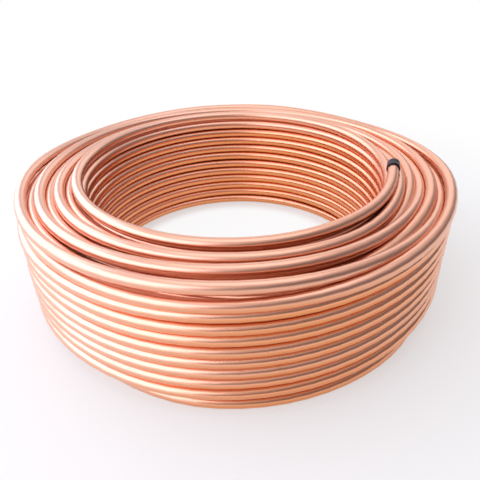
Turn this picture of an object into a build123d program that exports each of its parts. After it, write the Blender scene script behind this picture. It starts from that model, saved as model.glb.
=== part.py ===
from build123d import *
from math import acos, atan2, cos, degrees, radians, sin, sqrt
import os

# Level-wound coil of soft copper tube, in nested layers round the eye that the drum leaves.
# Millimetres. The coil lies on its end turns, with the eye upright along Z.

# Tube
tube_od = 12.7
tube_wall = 0.8

# Winding
eye_diameter = 361.0
turn_gap = 0.4
outer_slack = 0.4
layer_count = 7
turns_per_layer = 11
missing_outer_turns = 1
groove_floor = 0.8

# Loose first turn on top of the inner layer: where it sinks in, and where it lifts to its end
first_spring_out = 3.0
first_sink_angles = (50.0, -10.0)
first_sink_out = 1.5
first_lift_angles = (312.5, 342.5)
first_lift = 3.2
first_stub = 28.0

# Last turn, under the outer layer: where it sinks in, and where its end springs away
last_sink_angles = (-100.0, -40.0)
last_sink_in = 1.5
last_spring_angles = (-210.0, -234.0)
last_stub = 28.0

# Push-on caps of the two ends
cap_wall = 1.0
cap_end = 1.4
cap_grip = 14.0
cap_clearance = 0.15
cap_room = 0.5
cap_edge = 1.6

tube_radius = tube_od / 2
bore_radius = tube_radius - tube_wall
cap_radius = tube_radius + cap_clearance + cap_wall
turn_pitch = tube_od + turn_gap
layer_step = sqrt(tube_od**2 - (turn_pitch / 2) ** 2)
inner_radius = eye_diameter / 2 + tube_radius
outer_layer = layer_count - 1


def layer_radius(layer):
    # the second layer lies side by side with the first, and the others nest in the hollows
    if layer == 0:
        return inner_radius
    slack = outer_slack if layer == outer_layer else 0
    return inner_radius + turn_pitch + (layer - 1) * layer_step + slack


def turn_centre(layer, turn):
    nested = layer > 0 and layer % 2 == 0
    rise = turn_pitch / 2 if nested else 0
    return Vector(layer_radius(layer), tube_radius + turn * turn_pitch + rise)


def heading(start, end):
    return degrees(atan2(end.Y - start.Y, end.X - start.X))


def groove_angle(start, end):
    # how far from the line of centres a turn's outline stops at the floor of the groove
    return degrees(acos(((end - start).length - groove_floor) / tube_od))


def at(angle, radius, height):
    return Vector(radius * cos(radians(angle)), radius * sin(radians(angle)), height)


def along(angle):
    return Vector(-sin(radians(angle)), cos(radians(angle)), 0)


# Turns on the outside of the stack, in order: bottom, outer wall, top, inner wall
top = turns_per_layer - 1
outline = [turn_centre(layer, 0) for layer in range(outer_layer)]
outline += [turn_centre(outer_layer - 1, turn) for turn in range(1, missing_outer_turns + 2)]
outline += [turn_centre(outer_layer, turn) for turn in range(missing_outer_turns + 1, turns_per_layer)]
outline += [turn_centre(layer, top) for layer in range(outer_layer - 1, -1, -1)]
outline += [turn_centre(0, turn) for turn in range(top - 1, 0, -1)]

# Ends of the runs of the loose first turn, one pitch above the inner layer
first_radius = inner_radius + first_spring_out
first_height = turn_centre(0, turns_per_layer).Y
first_sink, first_buried = first_sink_angles
first_level_start = at(first_sink, first_radius, first_height)
first_root = at(first_buried, inner_radius + first_sink_out, first_height - turn_pitch)
first_lift_from, first_lift_to = first_lift_angles
first_level_end = at(first_lift_from, first_radius, first_height)
first_lifted = at(first_lift_to, first_radius, first_height + first_lift)

# Ends of the runs of the last turn, one pitch under the outer layer
last_radius = layer_radius(outer_layer)
last_height = turn_centre(outer_layer, missing_outer_turns).Y
last_sink, last_buried = last_sink_angles
last_level_start = at(last_sink, last_radius, last_height)
last_root = at(last_buried, last_radius - last_sink_in, last_height + turn_pitch)
last_spring_from, last_spring_to = last_spring_angles
last_spring_out = sqrt((tube_radius + cap_room + cap_radius) ** 2 - turn_pitch**2)
last_level_end = at(last_spring_from, last_radius, last_height)
last_sprung = at(last_spring_to, last_radius + last_spring_out, last_height)

with BuildPart() as tube_coil:
    # turned body: one revolve of the stacked turns
    with BuildSketch(Plane.XZ):
        with BuildLine():
            arcs = []
            for before, turn, after in zip(outline[-1:] + outline[:-1], outline, outline[1:] + outline[:1]):
                start = heading(turn, before) + groove_angle(turn, before)
                end = heading(turn, after) - groove_angle(turn, after)
                arcs.append(CenterArc((turn.X, turn.Y), tube_radius, start, (end - start) % 360))
            for arc, next_arc in zip(arcs, arcs[1:] + arcs[:1]):
                Line(arc @ 1, next_arc @ 0)
        make_face()
    revolve(axis=Axis.Z)

    # loose first turn: out of the stack, level round the eye, up to its free end
    with BuildLine() as first_path:
        first_rise = TangentArc(first_level_start, first_root, tangent=-along(first_sink))
        first_middle = at((first_sink + first_lift_from) / 2, first_radius, first_height)
        ThreePointArc(first_level_start, first_middle, first_level_end)
        first_ease = TangentArc(first_level_end, first_lifted, tangent=along(first_lift_from))
        first_end = Line(first_lifted, first_lifted + (first_ease % 1) * first_stub)
    with BuildSketch(Plane(origin=first_root, z_dir=first_rise % 1)):
        Circle(tube_radius)
    sweep(path=first_path.wire())

    # last turn: out of the outer layer, level round the back, away to its end
    with BuildLine() as last_path:
        last_rise = TangentArc(last_level_start, last_root, tangent=along(last_sink))
        last_middle = at((last_sink + last_spring_from) / 2, last_radius, last_height)
        ThreePointArc(last_level_start, last_middle, last_level_end)
        last_ease = TangentArc(last_level_end, last_sprung, tangent=-along(last_spring_from))
        last_end = Line(last_sprung, last_sprung + (last_ease % 1) * last_stub)
    with BuildSketch(Plane(origin=last_root, z_dir=last_rise % 1)):
        Circle(tube_radius)
    sweep(path=last_path.wire())

    # the tube is open at both ends
    for end in (first_end, last_end):
        with BuildSketch(Plane(origin=end @ 1, z_dir=-(end % 1))):
            Circle(bore_radius)
        extrude(amount=end.length, mode=Mode.SUBTRACT)

tube_coil.part.label = "tube_coil"
pieces = [tube_coil]

# one cup-shaped cap for each end
cap_depth = cap_grip + cap_clearance
for label, end in (("end_cap", first_end), ("outer_end_cap", last_end)):
    mouth = Plane(origin=(end @ 1) - (end % 1) * cap_grip, z_dir=end % 1)
    with BuildPart() as cap:
        with BuildSketch(mouth):
            Circle(cap_radius)
        extrude(amount=cap_depth + cap_end)
        fillet(cap.faces().sort_by(Axis(mouth.origin, mouth.z_dir))[-1].edges(), cap_edge)
        with BuildSketch(mouth):
            Circle(tube_radius + cap_clearance)
        extrude(amount=cap_depth, mode=Mode.SUBTRACT)
    cap.part.label = label
    pieces.append(cap)

os.makedirs("parts", exist_ok=True)
for piece in pieces:
    export_step(piece.part, f"parts/{piece.part.label}.step")
    box = piece.part.bounding_box()
    print(piece.part.label, piece.part.is_valid, len(piece.part.solids()), round(piece.part.volume), box.size)
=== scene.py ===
import bpy
import numpy as np
from mathutils import Matrix, Vector


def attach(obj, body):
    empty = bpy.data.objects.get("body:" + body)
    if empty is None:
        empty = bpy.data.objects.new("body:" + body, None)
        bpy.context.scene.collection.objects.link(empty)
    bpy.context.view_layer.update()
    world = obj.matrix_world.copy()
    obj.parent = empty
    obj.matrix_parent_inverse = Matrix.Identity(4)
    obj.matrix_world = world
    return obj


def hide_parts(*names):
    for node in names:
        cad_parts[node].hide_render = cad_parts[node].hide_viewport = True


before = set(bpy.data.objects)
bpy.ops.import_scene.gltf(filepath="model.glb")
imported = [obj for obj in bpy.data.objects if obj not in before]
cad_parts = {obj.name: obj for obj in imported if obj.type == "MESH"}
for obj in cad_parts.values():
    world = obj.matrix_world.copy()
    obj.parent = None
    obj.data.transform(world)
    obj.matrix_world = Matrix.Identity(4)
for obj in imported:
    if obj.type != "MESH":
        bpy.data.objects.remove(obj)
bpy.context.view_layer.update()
print("frame loaded:", sorted(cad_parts))

scene = bpy.context.scene
scene.view_settings.view_transform = "Standard"


def smoothStep(t):
    # 3t^2 - 2t^3, held at 0 and 1 outside the step
    t = np.clip(t, 0.0, 1.0)
    return t * t * (3.0 - 2.0 * t)


def unit(vectors):
    # v / |v|
    return vectors / np.linalg.norm(vectors, axis=-1, keepdims=True)


def closedGrid(name, points, flow):
    # a grid of rows x columns points, closed round its columns; each end row closes on its own middle
    rows, columns = points.shape[:2]
    i, j = np.meshgrid(np.arange(rows - 1), np.arange(columns), indexing="ij")
    k = (j + 1) % columns
    quads = np.stack([i * columns + j, i * columns + k, (i + 1) * columns + k, (i + 1) * columns + j], -1)
    quads = quads.reshape(-1, 4)
    j, k, base = j[0], k[0], (rows - 1) * columns
    middle = np.full(columns, rows * columns)
    fans = np.concatenate([np.stack([middle, k, j], -1), np.stack([middle + 1, base + j, base + k], -1)])
    loops = np.concatenate([quads.ravel(), fans.ravel()]).astype(np.int32)
    starts = np.concatenate([np.arange(len(quads)) * 4, len(quads) * 4 + np.arange(len(fans)) * 3])
    starts = starts.astype(np.int32)
    verts = np.concatenate([points.reshape(-1, 3), points[[0, -1]].mean(1)])
    flows = np.concatenate([flow.reshape(-1, 3), flow[[0, -1]].mean(1)]).astype(np.float32)
    mesh = bpy.data.meshes.new(name)
    mesh.vertices.add(len(verts))
    mesh.vertices.foreach_set("co", verts.astype(np.float32).ravel())
    mesh.loops.add(len(loops))
    mesh.loops.foreach_set("vertex_index", loops)
    mesh.polygons.add(len(starts))
    mesh.polygons.foreach_set("loop_start", starts)
    mesh.polygons.foreach_set("use_smooth", np.ones(len(starts), bool))
    mesh.update(calc_edges=True)
    mesh.attributes.new("flow", "FLOAT_VECTOR", "POINT").data.foreach_set("vector", flows.ravel())
    piece = bpy.data.objects.new(name, mesh)
    scene.collection.objects.link(piece)
    return piece


# the tube and its winding, in metres; angles in degrees, seen from above
tube = {
    "diameter": 0.0127,
    "wall": 0.0008,
    "pitch": 0.0131,
    "layerRadii": [0.18685, 0.19995, 0.21083, 0.22171, 0.23259, 0.24347, 0.25475],
    "turns": 11,
    "outerTurns": 10,
    "shortTurns": 1,
    "looseOut": 0.003,         # the first turn lies this much further out
    "looseEnd": (0.75, 0.25),  # and closes in from this turn on, over this share of a turn
    "innerTip": (0.18945, -0.03043, 0.15541),
    "innerAim": (0.2996, 0.952, 0.0628),
    "outerTip": (-0.13241, 0.22962, 0.026),
    "outerAim": (0.7417, 0.6707, 0.0),
    "stub": 0.028,
    "easing": 27.0,
    "boreDepth": 0.02,
    "lip": 0.00015,
    "samples": 72,
    "sides": 16,
    # angle and width of the step from turn to turn in each layer, and of the climb out of it;
    # an angle over 180 is one revolution earlier
    "layerSteps": [(-10, 110), (-100, 60), (-30, 60), (-44, 50), (-48, 60), (255, 60), (298, 95)],
    "layerEnds": [(-20, 70), (-46, 60), (-20, 70), (-58, 60), (-20, 70), (300, 62), (0, 0)],
    "footStep": (5, 236, 56),  # layer whose lowest turn stays on the floor further round, and its step
    # first and last turn, angle, reach either side, outward, upward
    "leans": [
        (0, 0, -90, 80, 0.0, -0.002),
        (23, 23, -90, 75, 0.0, 0.003),
        (45, 45, -90, 75, 0.0, 0.0032),
        (67, 67, -90, 75, 0.0, 0.0032),
        (22, 22, -20, 60, 0.001, 0.008),
        (23, 23, 10, 50, -0.004, 0.0),
        (67, 67, 35, 50, -0.008, -0.005),
        (67, 67, 143, 45, -0.004, -0.004),
        (67, 67, 100, 90, -0.008, -0.001),
        (67, 67, -155, 60, -0.004, 0.0),
        (68, 68, -155, 60, -0.006, 0.0),
        (67, 67, -27, 50, -0.003, 0.0),
        (22, 22, 180, 90, 0.0, 0.0012),
        (44, 44, 180, 90, 0.0, 0.0012),
        (66, 66, 180, 70, -0.001, 0.001),
        (66, 66, 65, 75, -0.003, -0.008),
        (56, 56, -95, 78, 0.0062, 0.0),
        (68, 72, -5, 75, -0.004, 0.0),
        (73, 76, -5, 75, -0.003, 0.0),
    ],
    "settling": 160,           # rounds of pushing
    "push": 0.3,               # share of an overlap that each turn gives way in a round
    "contact": (0.985, 0.9),   # closest the next turn and any other turn may lie, in diameters
    "nearby": 1.5,             # turns that come within this many diameters can push each other
    "parked": 10.0,            # where samples that don't exist are kept, far from the coil
    "sunk": (64, 65),          # two turns that may sink into each other at the back, out of sight
    "settleFade": 5,           # pushes fade in over a fifth of a turn at each end
    "waver": 0.0002,
    "waves": 14,
    "waveRates": (0.4, 3.3),   # waves in a turn
    "waverFade": 4,
    "seed": 11,
}


def windingStations(t):
    # of every turn in order: radius, height, and the angle and width of the step that leads to the next turn;
    # height = tube radius + level * pitch
    rise, outer = t["diameter"] / 2, len(t["layerRadii"]) - 1
    footLayer, *footStep = t["footStep"]
    rows = []
    for layer, radius in enumerate(t["layerRadii"]):
        down, first = layer % 2 == 0, layer == 0
        count = t["outerTurns"] if layer == outer else t["turns"] + first
        for turn in range(count):
            level = t["turns"] - turn - (0 if first else 0.5) if down else turn
            step = t["layerSteps"][layer] if turn < count - 1 else t["layerEnds"][layer]
            if (layer, turn) == (footLayer, 0):
                step = footStep
            rows.append((radius, rise + level * t["pitch"], *step))
    return np.array(rows)


def swell(angle, centre, reach):
    # (1 + cos) / 2 about the centre angle, down to 0 at the reach on either side
    off = np.abs((angle - centre + 180) % 360 - 180)
    return 0.5 + 0.5 * np.cos(np.pi * np.clip(off / reach, 0, 1))


def turnsAt(place):
    # -atan2(y, x) / 2 pi, as a share of a turn wound clockwise
    return -np.arctan2(place[1], place[0]) / (2 * np.pi) % 1


def windingPath(t):
    # radius and height of the tube's centre against turns wound, w, counted clockwise from angle 0:
    # r(w) = r0 + sum of dr_k S((w - c_k) / b_k + 1/2), with S the smooth step from turn k to the next,
    # and the same for the height; a few turns lean or lift on one side
    stations = windingStations(t)
    startTurn = turnsAt(t["innerTip"])
    endTurn = len(stations) - 1 - t["shortTurns"] + turnsAt(t["outerTip"])
    n = t["samples"]
    between = np.arange(np.ceil(startTurn * n), np.floor(endTurn * n) + 1) / n
    wound = np.concatenate([[startTurn], between, [endTurn]])
    centres = np.arange(1, len(stations)) - stations[:-1, 2] / 360
    shares = smoothStep((wound - centres[:, None]) / (stations[:-1, 3:] / 360) + 0.5)
    radius = stations[0, 0] + np.diff(stations[:, 0]) @ shares
    height = stations[0, 1] + np.diff(stations[:, 1]) @ shares
    looseFrom, looseOver = t["looseEnd"]
    radius += t["looseOut"] * (1 - smoothStep((wound - looseFrom) / looseOver))
    shares = np.concatenate([np.ones((1, len(wound))), shares, np.zeros((1, len(wound)))])
    for first, last, centre, reach, out, up in t["leans"]:
        part = (shares[first] - shares[last + 1]) * swell(-360 * wound, centre, reach)
        radius += out * part
        height += up * part
    return wound, radius, height


def fromEnds(wound):
    # turns to the nearer end of the tube
    return np.minimum(wound - wound[0], wound[-1] - wound)


def waver(wound, t):
    # small unevenness of a hand-guided winding, in radius and height: sum of a_k sin(2 pi f_k w + p_k)
    rng = np.random.default_rng(t["seed"])
    waves = rng.uniform(*t["waveRates"], t["waves"])
    phases = rng.uniform(0, 2 * np.pi, (2, t["waves"]))
    sizes = rng.normal(0, 1, (2, t["waves"])) / np.sqrt(waves)
    swing = np.sin(2 * np.pi * wound[:, None] * waves + phases[:, None])
    fade = smoothStep(fromEnds(wound) * t["waverFade"])
    return (swing * sizes[:, None]).sum(-1) * t["waver"] * fade


def endRuns(wound, radius, height, t):
    # near each end the centre follows a straight stub, tip - s * aim; before the stub's root, radius and
    # height leave the level turn as the square of the way to the root
    angle = -2 * np.pi * wound
    sin, cos = np.sin(angle), np.cos(angle)
    for tip, aim, fromEnd in ((t["innerTip"], t["innerAim"], wound - wound[0]),
                              (t["outerTip"], t["outerAim"], wound[-1] - wound)):
        tip, aim = np.array(tip), np.array(aim)
        root = tip - aim * t["stub"]
        rootTurns = np.arccos(unit(tip[:2]) @ unit(root[:2])) / (2 * np.pi)
        share = np.clip(1 - (fromEnd - rootTurns) / (t["easing"] / 360), 0, 1) ** 2
        radius = radius + (np.hypot(*root[:2]) - radius) * share
        height = height + (root[2] - height) * share
        along = (tip[0] * sin - tip[1] * cos) / (aim[0] * sin - aim[1] * cos)
        onStub = fromEnd <= rootTurns
        straight = tip[:, None] - aim[:, None] * along
        radius = np.where(onStub, np.hypot(straight[0], straight[1]), radius)
        height = np.where(onStub, straight[2], height)
    return radius, height


def settle(wound, radius, height, t):
    # turns that overlap at the same angle push each other apart, shift += share * (contact - gap), and the
    # pushes are evened out along the tube, until the winding lies nearly clear of itself and clear of the
    # drum and the floor
    n = t["samples"]
    grid = np.round(wound * n).astype(int)
    inner = slice(1, -1)
    row, column = grid[inner] // n, grid[inner] % n
    rows = row.max() + 1
    away = t["parked"] + np.arange(rows)[:, None] * np.ones(n)
    home = np.stack([away, away])
    home[:, row, column] = radius[inner], height[inner]
    gap = np.hypot(*(home[:, :, None] - home[:, None])).min(-1)
    near = np.triu(gap < t["nearby"] * t["diameter"], 1)
    near[t["sunk"]] = False
    a, b = np.nonzero(near)
    contact = t["diameter"] * np.where(b - a == 1, *t["contact"])[:, None]
    shift = np.zeros_like(home)
    fade = smoothStep(fromEnds(wound)[inner] * t["settleFade"])
    for _ in range(t["settling"]):
        now = home + shift
        apart = now[:, a] - now[:, b]
        length = np.maximum(np.hypot(*apart), 1e-6)    # never divides by zero
        push = apart * (np.maximum(contact - length, 0) / length * t["push"])
        for pair, sign in ((a, 1), (b, -1)):
            for axis in (0, 1):
                np.add.at(shift[axis], pair, sign * push[axis])
        chain = shift[:, row, column] * fade
        chain[:, 1:-1] = chain[:, 1:-1] / 2 + (chain[:, :-2] + chain[:, 2:]) / 4
        chain[1] += np.maximum(t["diameter"] / 2 - height[inner] - chain[1], 0)
        chain[0] += np.maximum(t["layerRadii"][0] - radius[inner] - chain[0], 0) * fade
        shift[:, row, column] = chain
    radius, height = radius.copy(), height.copy()
    radius[inner] += chain[0]
    height[inner] += chain[1]
    return radius, height


def tubeSurface(wound, radius, height, t):
    # P(w, u) = C(w) + r (cos u * outward + sin u * upward), a circle carried square to the path C;
    # at each end it turns in over the lip and down the bore
    angle = -2 * np.pi * wound
    centre = np.stack([radius * np.cos(angle), radius * np.sin(angle), height], -1)
    tangent = unit(np.gradient(centre, axis=0))
    tangent[0], tangent[-1] = -np.array(t["innerAim"]), np.array(t["outerAim"])
    tangent = unit(tangent)
    length = np.concatenate([[0], np.cumsum(np.linalg.norm(np.diff(centre, axis=0), axis=-1))])
    outer, lip = t["diameter"] / 2, t["lip"]
    bore = outer - t["wall"]
    mouthSizes = np.array([bore, bore, bore + lip, outer - lip])
    inset = np.array([t["boreDepth"], 0, 0, 0])[:, None]
    head, tail = centre[0] + tangent[0] * inset, centre[-1] - tangent[-1] * inset
    centre[0] += tangent[0] * lip
    centre[-1] -= tangent[-1] * lip
    centres = np.concatenate([head, centre, tail[::-1]])
    rings = len(mouthSizes)
    tangents = np.concatenate([np.repeat(tangent[:1], rings, 0), tangent, np.repeat(tangent[-1:], rings, 0)])
    lengths = np.concatenate([np.repeat(length[:1], rings), length, np.repeat(length[-1:], rings)])
    sizes = np.concatenate([mouthSizes, np.full(len(centre), outer), mouthSizes[::-1]])
    outward = centres * (1, 1, 0)
    outward = unit(outward - tangents * (outward * tangents).sum(-1, keepdims=True))
    upward = np.cross(tangents, outward)
    turn = np.linspace(0, 2 * np.pi, t["sides"], endpoint=False)
    ring = np.cos(turn)[:, None] * outward[:, None] + np.sin(turn)[:, None] * upward[:, None]
    points = centres[:, None] + ring * sizes[:, None, None]
    flow = np.empty_like(points)
    flow[..., 0] = np.cos(turn) * outer
    flow[..., 1] = np.sin(turn) * outer
    flow[..., 2] = lengths[:, None]
    return points, flow, lengths[-1]


wound, radius, height = windingPath(tube)
shake = waver(wound, tube)
radius, height = endRuns(wound, radius + shake[0], height + shake[1], tube)
radius, height = settle(wound, radius, height, tube)
points, flow, tubeLength = tubeSurface(wound, radius, height, tube)
coil = closedGrid("copper_tube", points, flow)
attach(coil, "root")
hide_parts("tube_coil")
print("tube wound: %.1f m in %.1f turns, %d faces" % (tubeLength, wound[-1] - wound[0], len(coil.data.polygons)))


# push-on caps, turned about the tube's two ends
cap = {
    "grip": 0.014,
    "end": 0.0014,
    "clearance": 0.00015,
    "wall": 0.001,
    "chamfer": 0.0003,
    "rimShare": 0.3,           # where the rim is, in the wall
    "bead": 0.0003,
    "beadFrom": 0.0002,        # the bead's lengths are from the rim
    "beadTo": 0.0014,
    "beadFade": 0.0021,
    "waist": 0.00005,
    "waistShare": 0.4,
    "round": 0.0022,
    "roundSteps": 8,
    "crown": 0.00012,
    "crownShare": 0.5,
    "sides": 40,
}


def capSurface(tip, aim, c, t):
    # P(k, u) = tip + a_k * aim + r_k (cos u * side - sin u * up), a turned profile (a_k, r_k): up the bore,
    # over the beaded rim, along the outside and round the closed end
    inside = t["diameter"] / 2 + c["clearance"]
    outside = inside + c["wall"]
    rim, end = -c["grip"], c["clearance"] + c["end"]
    skirt = [
        (c["clearance"], inside),
        (rim + c["chamfer"], inside),
        (rim, inside + c["wall"] * c["rimShare"]),
        (rim + c["beadFrom"], outside + c["bead"]),
        (rim + c["beadTo"], outside + c["bead"]),
        (rim + c["beadFade"], outside),
        (rim * c["waistShare"], outside - c["waist"]),
    ]
    turnIn = np.linspace(0, np.pi / 2, c["roundSteps"])
    corner = np.stack([end - c["round"] + c["round"] * np.sin(turnIn),
                       outside - c["round"] + c["round"] * np.cos(turnIn)], -1)
    along, across = np.concatenate([skirt, corner, [(end + c["crown"], outside * c["crownShare"])]]).T
    aim = unit(np.array(aim))
    side = unit(np.cross(aim, (0, 0, 1)))
    up = np.cross(side, aim)
    turn = np.linspace(0, 2 * np.pi, c["sides"], endpoint=False)
    ring = np.cos(turn)[:, None] * side - np.sin(turn)[:, None] * up
    points = np.array(tip) + along[:, None, None] * aim + across[:, None, None] * ring
    flow = np.empty_like(points)
    flow[..., 0] = np.cos(turn) * outside
    flow[..., 1] = np.sin(turn) * outside
    flow[..., 2] = along[:, None]
    return points, flow


caps = []
for name, solid, tip, aim in (("inner_cap", "end_cap", tube["innerTip"], tube["innerAim"]),
                              ("outer_cap", "outer_end_cap", tube["outerTip"], tube["outerAim"])):
    piece = closedGrid(name, *capSurface(tip, aim, cap, tube))
    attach(piece, "root")
    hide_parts(solid)
    caps.append(piece)
print("caps on both ends")


def fill(tree, socket, value):
    # an input takes a plain value or another node's output
    if isinstance(value, bpy.types.NodeSocket):
        tree.links.new(value, socket)
    else:
        socket.default_value = value


def node(tree, kind, inputs=None, **settings):
    made = tree.nodes.new(kind)
    for key, value in settings.items():
        setattr(made, key, value)
    for key, value in (inputs or {}).items():
        fill(tree, made.inputs[key], value)
    return made


def mixColour(tree, factor, one, two):
    made = node(tree, "ShaderNodeMix", data_type="RGBA")
    for key, value in ((0, factor), (6, one), (7, two)):
        fill(tree, made.inputs[key], value)
    return made.outputs[2]


def maths(tree, operation, one, two):
    return node(tree, "ShaderNodeMath", {0: one, 1: two}, operation=operation).outputs[0]


def ramp(tree, value, edges=(0.0, 1.0), shares=(0.0, 1.0), kind="LINEAR"):
    # carries a value from two edges to two shares, and holds it outside them
    made = node(tree, "ShaderNodeMapRange", {
        "Value": value, "From Min": edges[0], "From Max": edges[1], "To Min": shares[0], "To Max": shares[1],
    }, interpolation_type=kind)
    return made.outputs["Result"]


def newMaterial(name):
    material = bpy.data.materials.new(name)
    material.use_nodes = True
    return material, material.node_tree, material.node_tree.nodes["Principled BSDF"]


drawn = {
    "close": 900.0,
    "long": 3.0,
    "detail": 3.0,
    "roughness": 0.6,
    "scuffScale": 140.0,
    "scuffDetail": 4.0,
    "scuffEdges": (0.58, 0.72),
}


def drawLineGroup(d):
    # fine lines along the piece: noise on the flow attribute, close round the tube and long down its length
    group = bpy.data.node_groups.new("drawLines", "ShaderNodeTree")
    for label, value in (("Close", d["close"]), ("Long", d["long"])):
        group.interface.new_socket(label, in_out="INPUT", socket_type="NodeSocketFloat").default_value = value
    for label in ("Lines", "Scuffs"):
        group.interface.new_socket(label, in_out="OUTPUT", socket_type="NodeSocketFloat")
    start, finish = node(group, "NodeGroupInput"), node(group, "NodeGroupOutput")
    flowing = node(group, "ShaderNodeAttribute", attribute_name="flow").outputs["Vector"]
    apart = node(group, "ShaderNodeSeparateXYZ", {0: flowing})
    joined = node(group, "ShaderNodeCombineXYZ", {
        axis: maths(group, "MULTIPLY", apart.outputs[axis], start.outputs[by])
        for axis, by in (("X", "Close"), ("Y", "Close"), ("Z", "Long"))})
    fine = node(group, "ShaderNodeTexNoise", {
        "Vector": joined.outputs[0], "Scale": 1.0, "Detail": d["detail"], "Roughness": d["roughness"]})
    scuff = node(group, "ShaderNodeTexNoise", {
        "Vector": flowing, "Scale": d["scuffScale"], "Detail": d["scuffDetail"]})
    group.links.new(fine.outputs["Fac"], finish.inputs["Lines"])
    group.links.new(ramp(group, scuff.outputs["Fac"], d["scuffEdges"]), finish.inputs["Scuffs"])
    return group


drawLines = drawLineGroup(drawn)

copper = {
    "bright": (0.92, 0.46, 0.30, 1),
    "warm": (0.91, 0.39, 0.21, 1),
    "warmScale": (40.0, 40.0, 2.2),
    "warmDetail": 3.0,
    "warmEdges": (0.35, 0.68),
    "film": (0.85, 0.33, 0.17, 1),
    "filmShare": 0.5,
    # painted light: paler copper for the lamp-lit left side
    "paintedLitSide": (0.95, 0.57, 0.44, 1),
    "paintedLitShare": 0.7,
    # painted shade: darker, deeper copper for the undersides, away from the lamps and in the eye
    "paintedShade": (0.79, 0.29, 0.09, 1),
    "paintedShadeEdge": (0.0032, -0.0004),    # heights round the tube where the painted shade of its underside begins and where it is full
    "paintedSideEdges": (-0.16, 0.06),        # across the coil, from the lamp-lit side with painted light to the far side with more painted shade
    "paintedShadeEye": (0.204, 0.192),        # and from the outer layers to the wall of the eye
    "paintedShadeShares": (0.25, 0.9),
    # paler, rougher copper for the top turns
    "topTone": (0.86, 0.49, 0.37, 1),
    "topHeights": (0.126, 0.142),
    "topShare": 0.7,
    "topStreaks": (0.6, 1.0),
    "topRoughness": 0.34,
    "roughness": (0.21, 0.33),
    "lineEdges": (0.3, 0.7),
    "oilFilm": {"Coat Weight": 0.25, "Coat IOR": 1.6, "Coat Roughness": 0.15},
    "bump": {"Strength": 0.05, "Distance": 0.0002},
}


def copperFinish(c):
    material, tree, shader = newMaterial("bright_copper")
    shader.inputs["Metallic"].default_value = 1.0
    for key, value in c["oilFilm"].items():
        shader.inputs[key].default_value = value
    lines = node(tree, "ShaderNodeGroup", node_tree=drawLines)
    flowing = node(tree, "ShaderNodeAttribute", attribute_name="flow").outputs["Vector"]
    stretch = node(tree, "ShaderNodeMapping", {"Vector": flowing, "Scale": c["warmScale"]})
    blotch = node(tree, "ShaderNodeTexNoise", {
        "Vector": stretch.outputs[0], "Scale": 1.0, "Detail": c["warmDetail"]})
    colour = mixColour(tree, ramp(tree, blotch.outputs["Fac"], c["warmEdges"]), c["bright"], c["warm"])
    colour = mixColour(tree, maths(tree, "MULTIPLY", lines.outputs["Scuffs"], c["filmShare"]), colour, c["film"])
    # painted light: the copper is paler on the left, the side the lamps and the bright room light
    place = node(tree, "ShaderNodeTexCoord")
    spot = node(tree, "ShaderNodeSeparateXYZ", {0: place.outputs["Object"]})
    paintedLitSide = ramp(tree, spot.outputs["X"], c["paintedSideEdges"][::-1], (0.0, c["paintedLitShare"]), "SMOOTHSTEP")
    colour = mixColour(tree, paintedLitSide, colour, c["paintedLitSide"])
    # painted shade: the undersides are darker and deeper in colour, most of all on the side away from the lamps
    # and in the eye
    flat = node(tree, "ShaderNodeCombineXYZ", {"X": spot.outputs["X"], "Y": spot.outputs["Y"]})
    fromAxis = node(tree, "ShaderNodeVectorMath", {0: flat.outputs["Vector"]}, operation="LENGTH")
    onSide = ramp(tree, spot.outputs["X"], c["paintedSideEdges"], c["paintedShadeShares"], "SMOOTHSTEP")
    inEye = ramp(tree, fromAxis.outputs["Value"], c["paintedShadeEye"], (0.0, c["paintedShadeShares"][1]))
    around = node(tree, "ShaderNodeSeparateXYZ", {0: flowing})
    most = maths(tree, "MAXIMUM", onSide, inEye)
    undersideShade = ramp(tree, around.outputs["Y"], c["paintedShadeEdge"], (0.0, most), "SMOOTHSTEP")
    colour = mixColour(tree, undersideShade, colour, c["paintedShade"])
    # the top turns are paler and rougher, in streaks along the drawn lines
    upper = ramp(tree, spot.outputs["Z"], c["topHeights"], (0.0, c["topShare"]), "SMOOTHSTEP")
    dull = maths(tree, "MULTIPLY", upper, ramp(tree, lines.outputs["Lines"], c["lineEdges"], c["topStreaks"]))
    colour = mixColour(tree, dull, colour, c["topTone"])
    tree.links.new(colour, shader.inputs["Base Color"])
    rough = ramp(tree, lines.outputs["Lines"], c["lineEdges"], c["roughness"])
    rough = ramp(tree, dull, shares=(rough, c["topRoughness"]))
    tree.links.new(rough, shader.inputs["Roughness"])
    bump = node(tree, "ShaderNodeBump", {"Height": lines.outputs["Lines"], **c["bump"]})
    tree.links.new(bump.outputs["Normal"], shader.inputs["Normal"])
    return material


vinyl = {
    "dark": (0.009, 0.004, 0.012, 1),
    "chalky": (0.022, 0.011, 0.030, 1),
    "grain": {"Close": 260.0, "Long": 260.0},
    "roughness": (0.30, 0.42),
    "shine": 0.14,
    "bump": {"Strength": 0.1, "Distance": 0.0002},
}


def vinylFinish(v):
    material, tree, shader = newMaterial("dark_vinyl")
    shader.inputs["Specular IOR Level"].default_value = v["shine"]
    lines = node(tree, "ShaderNodeGroup", v["grain"], node_tree=drawLines)
    colour = mixColour(tree, lines.outputs["Lines"], v["dark"], v["chalky"])
    tree.links.new(colour, shader.inputs["Base Color"])
    tree.links.new(ramp(tree, lines.outputs["Scuffs"], shares=v["roughness"]), shader.inputs["Roughness"])
    bump = node(tree, "ShaderNodeBump", {"Height": lines.outputs["Lines"], **v["bump"]})
    tree.links.new(bump.outputs["Normal"], shader.inputs["Normal"])
    return material


coil.data.materials.append(copperFinish(copper))
darkVinyl = vinylFinish(vinyl)
for piece in caps:
    piece.data.materials.append(darkVinyl)
print("materials made")


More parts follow.
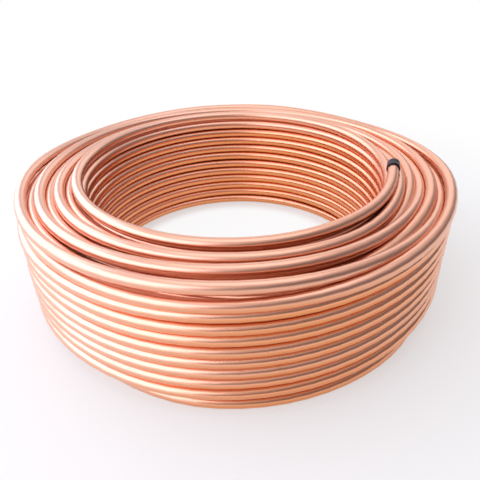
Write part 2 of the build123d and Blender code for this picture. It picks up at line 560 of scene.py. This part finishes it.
# the floor: what is seen of it turns plain white away from the coil, and keeps the coil's shadow near it
stage = {
    "half": 7.0,
    "colour": (0.86, 0.86, 0.86, 1),
    "roughness": 0.9,
    "fade": (0.34, 0.8),
    "shares": (0.5, 1.0),
    "eye": (0.20, 0.15),       # inside the coil it is nearly white again
    "eyeShare": 0.9,
}
plainWhite = (1, 1, 1, 1)


def floorFinish(s):
    material, tree, matt = newMaterial("pale_floor")
    matt.inputs["Base Color"].default_value = s["colour"]
    matt.inputs["Roughness"].default_value = s["roughness"]
    place = node(tree, "ShaderNodeTexCoord")
    away = node(tree, "ShaderNodeVectorMath", {0: place.outputs["Object"]}, operation="LENGTH").outputs["Value"]
    outside = ramp(tree, away, s["fade"], s["shares"], "SMOOTHSTEP")
    inEye = ramp(tree, away, s["eye"], (0.0, s["eyeShare"]), "SMOOTHSTEP")
    ray = node(tree, "ShaderNodeLightPath")
    seen = ray.outputs["Is Camera Ray"]
    for other in ("Is Glossy Ray", "Is Transmission Ray"):
        seen = maths(tree, "MAXIMUM", seen, ray.outputs[other])
    seen = maths(tree, "MULTIPLY", seen, maths(tree, "MAXIMUM", outside, inEye))
    white = node(tree, "ShaderNodeEmission", {"Color": plainWhite, "Strength": 1.0})
    blend = node(tree, "ShaderNodeMixShader", {0: seen, 1: matt.outputs[0], 2: white.outputs[0]})
    tree.links.new(blend.outputs[0], tree.nodes["Material Output"].inputs["Surface"])
    return material


half = stage["half"]
floorMesh = bpy.data.meshes.new("floor")
floorMesh.from_pydata([(-half, -half, 0), (half, -half, 0), (half, half, 0), (-half, half, 0)], [], [(0, 1, 2, 3)])
floor = bpy.data.objects.new("floor", floorMesh)
scene.collection.objects.link(floor)
floorMesh.materials.append(floorFinish(stage))

# a pale room, bright from the left round to the back and overhead, dimmer to the front right
room = {
    "brightSide": (-0.883, 0.469, 1.0),
    "edge": (-0.35, 0.65),
    "dim": (0.22, 0.205, 0.23, 1),
    "bright": (0.78, 0.76, 0.77, 1),
    "horizon": (0.01, 0.10),   # below this height the room is as white as the floor
}


def roomLight(r):
    world = bpy.data.worlds.new("room")
    scene.world = world
    world.use_nodes = True
    tree = world.node_tree
    way = node(tree, "ShaderNodeTexCoord").outputs["Generated"]
    facing = node(tree, "ShaderNodeVectorMath", {0: way, 1: r["brightSide"]}, operation="DOT_PRODUCT")
    share = ramp(tree, facing.outputs["Value"], r["edge"], kind="SMOOTHSTEP")
    walls = mixColour(tree, share, r["dim"], r["bright"])
    aloft = node(tree, "ShaderNodeSeparateXYZ", {0: way})
    above = ramp(tree, aloft.outputs["Z"], r["horizon"], kind="SMOOTHSTEP")
    walls = mixColour(tree, above, plainWhite, walls)
    tree.links.new(walls, tree.nodes["Background"].inputs["Color"])


roomLight(room)

# soft panels: place, the point each one faces, width and height in metres, brightness as seen and tint
lamps = {
    "frontLeft": {"at": (-1.56, -1.06, 1.0), "aim": (0, 0, 0.15), "size": (2.8, 2.0),
                  "bright": 1.5, "tint": (0.96, 0.94, 1.15)},
    "backLeft": {"at": (-1.75, 1.0, 1.05), "aim": (0, 0, 0.1), "size": (2.2, 2.0),
                 "bright": 1.45, "tint": (0.96, 0.94, 1.15)},
    "overhead": {"at": (0.1, 0.0, 1.6), "aim": (0, 0, 0), "size": (1.3, 1.5),
                 "bright": 0.75, "tint": (0.94, 0.99, 1.1)},
    "back": {"at": (0.5, 2.0, 1.1), "aim": (0, 0, 0.1), "size": (2.0, 0.9),
             "bright": 0.5, "tint": (1, 1, 1)},
}
for name, lamp in lamps.items():
    light = bpy.data.lights.new(name, "AREA")
    light.shape = "RECTANGLE"
    light.size, light.size_y = lamp["size"]
    light.energy = lamp["bright"] * np.pi * light.size * light.size_y
    light.color = lamp["tint"]
    holder = bpy.data.objects.new(name, light)
    holder.location = lamp["at"]
    holder.rotation_euler = (Vector(lamp["aim"]) - Vector(lamp["at"])).to_track_quat("-Z", "Y").to_euler()
    scene.collection.objects.link(holder)

# the camera: distances in radii of the outer layer, from the coil's axis and from the plane of its top turns
view = {
    "away": 2.1889,
    "above": 0.9312,
    "down": 0.5547,
    "yaw": 0.0081,
    "roll": -0.0226,
    "lens": 35.73,
    "sensor": 36.0,
    "topTurn": 0.1439,
}


def lookFrom(v, coilRadius):
    # forward = (sin yaw cos down, cos yaw cos down, -sin down), then rolled about itself
    data = bpy.data.cameras.new("camera")
    data.lens, data.sensor_width = v["lens"], v["sensor"]
    camera = bpy.data.objects.new("camera", data)
    level = np.cos(v["down"])
    forward = Vector((np.sin(v["yaw"]) * level, np.cos(v["yaw"]) * level, -np.sin(v["down"])))
    right = forward.cross(Vector((0, 0, 1))).normalized()
    up = right.cross(forward)
    c, s = np.cos(v["roll"]), np.sin(v["roll"])
    right, up = c * right + s * up, c * up - s * right
    turn = Matrix((right, up, -forward)).transposed().to_4x4()
    turn.translation = (0, -v["away"] * coilRadius, v["topTurn"] + v["above"] * coilRadius)
    camera.matrix_world = turn
    scene.collection.objects.link(camera)
    scene.camera = camera


lookFrom(view, tube["layerRadii"][-1])
print("stage, lamps and camera set")
